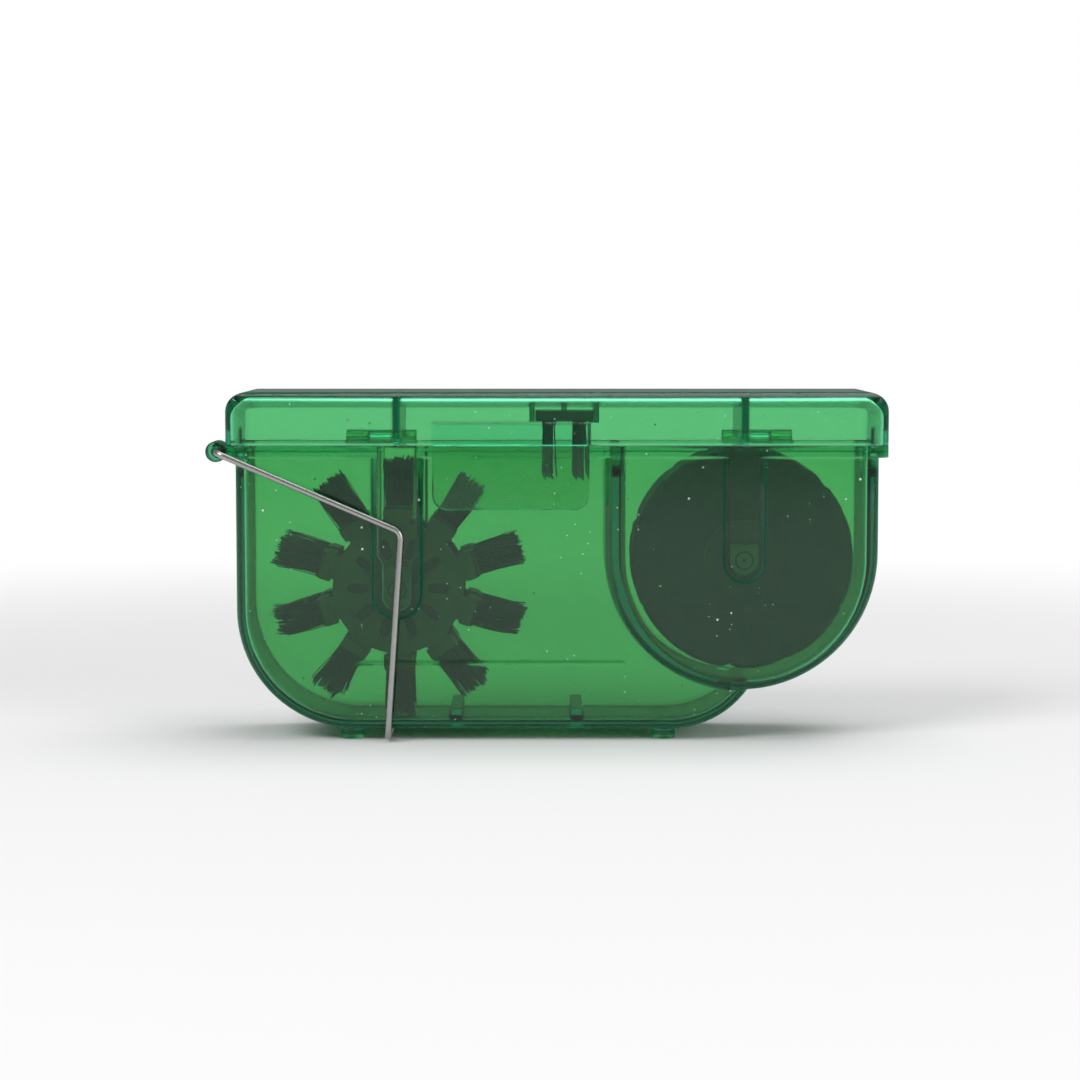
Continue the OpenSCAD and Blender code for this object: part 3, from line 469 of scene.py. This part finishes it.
def open_cell_foam(name):
    """Foam whose cells are pits between ribs, the pits darkened by painted shade."""
    material, shade, place = start_material(name)
    cells = shade.node("TexVoronoi", {"feature": "DISTANCE_TO_EDGE"}, {
        "Vector": place, "Scale": 1 / CELL_SIZE,
    })
    fine = shade.node("TexVoronoi", {"feature": "F1"}, {"Vector": place, "Scale": 1 / FINE_CELL_SIZE})
    cloud = grain(shade, place, 14 * MM, 4.0)
    rib = 1 - cells.above(0.02, 0.2)
    relief = rib * 0.7 + fine * -0.4
    bump = shade.node("Bump", inputs={"Height": relief, "Strength": 0.6, "Distance": 0.2 * MM})
    # Painted shade: the pits between the ribs take these darker colours, the ribs the paler ones.
    dark = cloud.blend((0.016, 0.018, 0.018, 1), (0.03, 0.034, 0.034, 1))
    light = cloud.blend((0.045, 0.052, 0.05, 1), (0.07, 0.08, 0.078, 1))
    surface = shade.node("BsdfPrincipled", inputs={
        "Base Color": rib.blend(dark, light),
        "Roughness": 0.8 + 0.15 * cloud,
        "Specular IOR Level": 0.2,
        "Sheen Weight": 0.2,
        "Normal": bump,
    })
    return finish_material(material, shade, surface)


FOAM_RADIUS = 34.8 * MM
FOAM_HALF = 12.9 * MM
FOAM_BORE = 8.65 * MM
FOAM_EDGE = 2.2 * MM
FOAM_TURNS = 300
FACE_STEPS = 25
EDGE_STEPS = 6
SIDE_STEPS = 10
foam_outline = []
for step in range(FACE_STEPS + 1):
    foam_outline.append((FOAM_BORE + (FOAM_RADIUS - FOAM_EDGE - FOAM_BORE) * step / FACE_STEPS, FOAM_HALF))
for step in range(1, EDGE_STEPS + 1):
    bend = math.radians(90 - 90 / EDGE_STEPS * step)
    foam_outline.append((
        FOAM_RADIUS - FOAM_EDGE + FOAM_EDGE * math.cos(bend),
        FOAM_HALF - FOAM_EDGE + FOAM_EDGE * math.sin(bend),
    ))
for step in range(1, SIDE_STEPS):
    foam_outline.append((FOAM_RADIUS, (FOAM_HALF - FOAM_EDGE) * (1 - step / SIDE_STEPS)))
foam_outline += [(radius, -y) for radius, y in reversed(foam_outline)]
sponge_middle = (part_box("sponge_axle")[0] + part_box("sponge_axle")[1]) / 2
LUMPS_PER_METRE = 160
PITS_PER_METRE = 900
NICKS_ROUND = 9
NICKS_ACROSS_PER_METRE = 60
NICK_THRESHOLD = 0.28
LUMP_DEPTH = 0.25 * MM
PIT_DEPTH = 0.14 * MM
NICK_DEPTH = 2.4 * MM
FACE_PIT_DEPTH = 0.22 * MM
RIM_START = 0.85 * FOAM_RADIUS
BORE_FADE = 4 * MM
foam_points = []
for turn in range(FOAM_TURNS):
    angle = 2 * math.pi * turn / FOAM_TURNS
    for radius, y in foam_outline:
        point = Vector((radius * math.cos(angle), y, radius * math.sin(angle)))
        lumps = noise.fractal(point * LUMPS_PER_METRE, 0.9, 2.0, 3)
        pits = noise.noise(point * PITS_PER_METRE)
        nick_place = Vector((angle * NICKS_ROUND, y * NICKS_ACROSS_PER_METRE, 4.0))
        nick = max(0.0, noise.noise(nick_place) - NICK_THRESHOLD)
        at_rim = max(0.0, min(1.0, (radius - RIM_START) / (FOAM_RADIUS - RIM_START)))
        from_bore = min(1.0, (radius - FOAM_BORE) / BORE_FADE)
        inward = Vector((-point.x, -0.5 * point.y, -point.z)).normalized()
        rim_depth = at_rim * (LUMP_DEPTH * abs(lumps) + PIT_DEPTH * pits + NICK_DEPTH * nick)
        face_depth = (1 - at_rim) * from_bore * FACE_PIT_DEPTH * abs(pits)
        point += inward * rim_depth - Vector((0, math.copysign(1, y), 0)) * face_depth
        foam_points.append(point + sponge_middle)
rings = len(foam_outline)
foam_faces = [
    (
        turn * rings + ring,
        turn * rings + (ring + 1) % rings,
        (turn + 1) % FOAM_TURNS * rings + (ring + 1) % rings,
        (turn + 1) % FOAM_TURNS * rings + ring,
    )
    for turn in range(FOAM_TURNS)
    for ring in range(rings)
]
foam_mesh = bpy.data.meshes.new("sponge_ring")
foam_mesh.from_pydata(foam_points, [], foam_faces)
foam_mesh.shade_smooth()
sponge_ring = bpy.data.objects.new("sponge_ring", foam_mesh)
bpy.context.scene.collection.objects.link(sponge_ring)
foam_mesh.materials.append(open_cell_foam("open cell foam"))
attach(sponge_ring, "sponge_wheel")
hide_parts("sponge_foam")

for node in ("sponge_core", "sponge_cap_front", "sponge_cap_rear"):
    dress(node, dark_nylon)
dress("sponge_axle", axle_steel)


# Lid. The same clear plastic as the tank, in a thinner moulding that lets more light through, with less
# painted shade where it turns away. Ribs hold the chain down, and a bar in its ceiling carries the comb's
# eight tufts.
lid_green = clear_plastic("clear lid plastic", (0.52, 0.82, 0.5), 0.4)
dress("lid", lid_green)
dress("comb_block", dark_nylon)
bar_low, bar_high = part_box("comb_block")
bar_middle = (bar_low + bar_high) / 2
COMB_ROW_GAP = 9.6 * MM
COMB_CHAIN_GAP = 9.4 * MM
COMB_OUTER_GAP = 27.6 * MM
COMB_ROOT_Z = bar_low.z - TUFT_VALUES["Backing"]
comb_roots = [
    Vector((bar_middle.x + row * COMB_ROW_GAP / 2, bar_middle.y + side * gap / 2, COMB_ROOT_Z))
    for row in (-1, 1)
    for gap in (COMB_CHAIN_GAP, COMB_OUTER_GAP)
    for side in (-1, 1)
]
DOWN = Vector((0, 0, -1))
comb = make_tufts("comb_bristles", tuft_tree, comb_roots, [DOWN] * len(comb_roots), None, {
    **TUFT_VALUES, "Width": 3.7 * MM, "Depth": 3.7 * MM, "Length": 17.0 * MM, "Spacing": 0.45 * MM,
    "Splay": 0.1, "Ragged": 0.08, "Bend": 0.8 * MM, "Round": True, "Seed": 11,
})
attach(comb, "lid")
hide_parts("comb_tufts")


# Arm. Two millimetre stainless spring wire, cold bent, that turns in the boss on the rim's left end and
# keeps the tank from turning with the chain. A push-on cap holds it in the boss.
wire_steel = drawn_steel("drawn arm wire", 2, (0.47, 0.455, 0.45))
dress("arm", wire_steel)
dress("arm_cap", dark_nylon)


# Studio. A pale floor that fades to white, a white surround, and three soft lamps. Floor and surround are
# fully white only where the camera sees them, straight or through the plastic, so they don't flood the part.
def seen_by_camera(shade):
    """1 for a camera ray and for a ray that has passed through the plastic, else 0."""
    return shade.maths("MAXIMUM", shade.node("LightPath"), shade.node("LightPath", output=6))


def floor_white(name):
    """Pale grey near the part, which fades to a glowing white far away."""
    material, shade, place = start_material(name)
    from_middle = shade.node("VectorMath", {"operation": "LENGTH"}, {0: place}, output=1)
    plain = shade.node("BsdfDiffuse", inputs={"Color": (0.86, 0.86, 0.86, 1)})
    glow = shade.node("Emission", inputs={"Color": (1, 1, 1, 1), "Strength": 1.0})
    far = from_middle.above(FADE_START, FADE_WIDTH) * seen_by_camera(shade)
    surface = shade.node("MixShader", inputs={0: far, 1: plain, 2: glow})
    return finish_material(material, shade, surface)


FADE_START = 0.22
FADE_WIDTH = 0.45
FLOOR_REACH = 6.0
FLOOR_Z = -0.05 * MM
floor_mesh = bpy.data.meshes.new("floor")
floor_corners = [
    (x * FLOOR_REACH, y * FLOOR_REACH, FLOOR_Z) for x, y in ((-1, -1), (1, -1), (1, 1), (-1, 1))
]
floor_mesh.from_pydata(floor_corners, [], [(0, 1, 2, 3)])
floor_mesh.materials.append(floor_white("floor white"))
floor = bpy.data.objects.new("floor", floor_mesh)
bpy.context.scene.collection.objects.link(floor)

AMBIENT = 0.3
world = bpy.data.worlds.new("surround")
world.use_nodes = True
world.node_tree.nodes.clear()
sky = Shade(world.node_tree)
level = AMBIENT + (1 - AMBIENT) * seen_by_camera(sky)
light = sky.node("Background", inputs={"Color": (1, 1, 1, 1), "Strength": level})
sky.node("OutputWorld", inputs={"Surface": light})
bpy.context.scene.world = world

LAMPS_AIM = Vector((0, 0, 0.05))
for name, place, size, power in (
    ("key", (-0.75, -0.9, 1.05), 0.8, 10.0),
    ("top", (0.25, 0.15, 1.3), 1.1, 8.5),
    ("fill", (0.95, -0.85, 0.45), 0.8, 5.0),
):
    lamp = bpy.data.lights.new(name, "AREA")
    lamp.shape = "DISK"
    lamp.size = size
    lamp.energy = power
    lamp_object = bpy.data.objects.new(name, lamp)
    lamp_object.location = place
    lamp_object.rotation_euler = (LAMPS_AIM - Vector(place)).to_track_quat("-Z", "Y").to_euler()
    bpy.context.scene.collection.objects.link(lamp_object)

# Camera. It stands before the tank's middle, a little higher than the part, and looks slightly down.
CAMERA_PITCH = math.radians(4.8)
CAMERA_DISTANCE = 0.83
LOOK_AT = Vector((-2.3 * MM, -21.6 * MM, 62.8 * MM))
SENSOR_WIDTH_MM = 36.0
LENS_MM = 89.3
camera_data = bpy.data.cameras.new("camera")
camera_data.sensor_width = SENSOR_WIDTH_MM
camera_data.lens = LENS_MM
camera = bpy.data.objects.new("camera", camera_data)
camera.location = LOOK_AT + CAMERA_DISTANCE * Vector((0, -math.cos(CAMERA_PITCH), math.sin(CAMERA_PITCH)))
camera.rotation_euler = (math.pi / 2 - CAMERA_PITCH, 0, 0)
bpy.context.scene.collection.objects.link(camera)
bpy.context.scene.camera = camera

bpy.context.scene.view_settings.view_transform = "Standard"
LIGHT_BOUNCES = 24
bpy.context.scene.cycles.max_bounces = LIGHT_BOUNCES
bpy.context.scene.cycles.transmission_bounces = LIGHT_BOUNCES
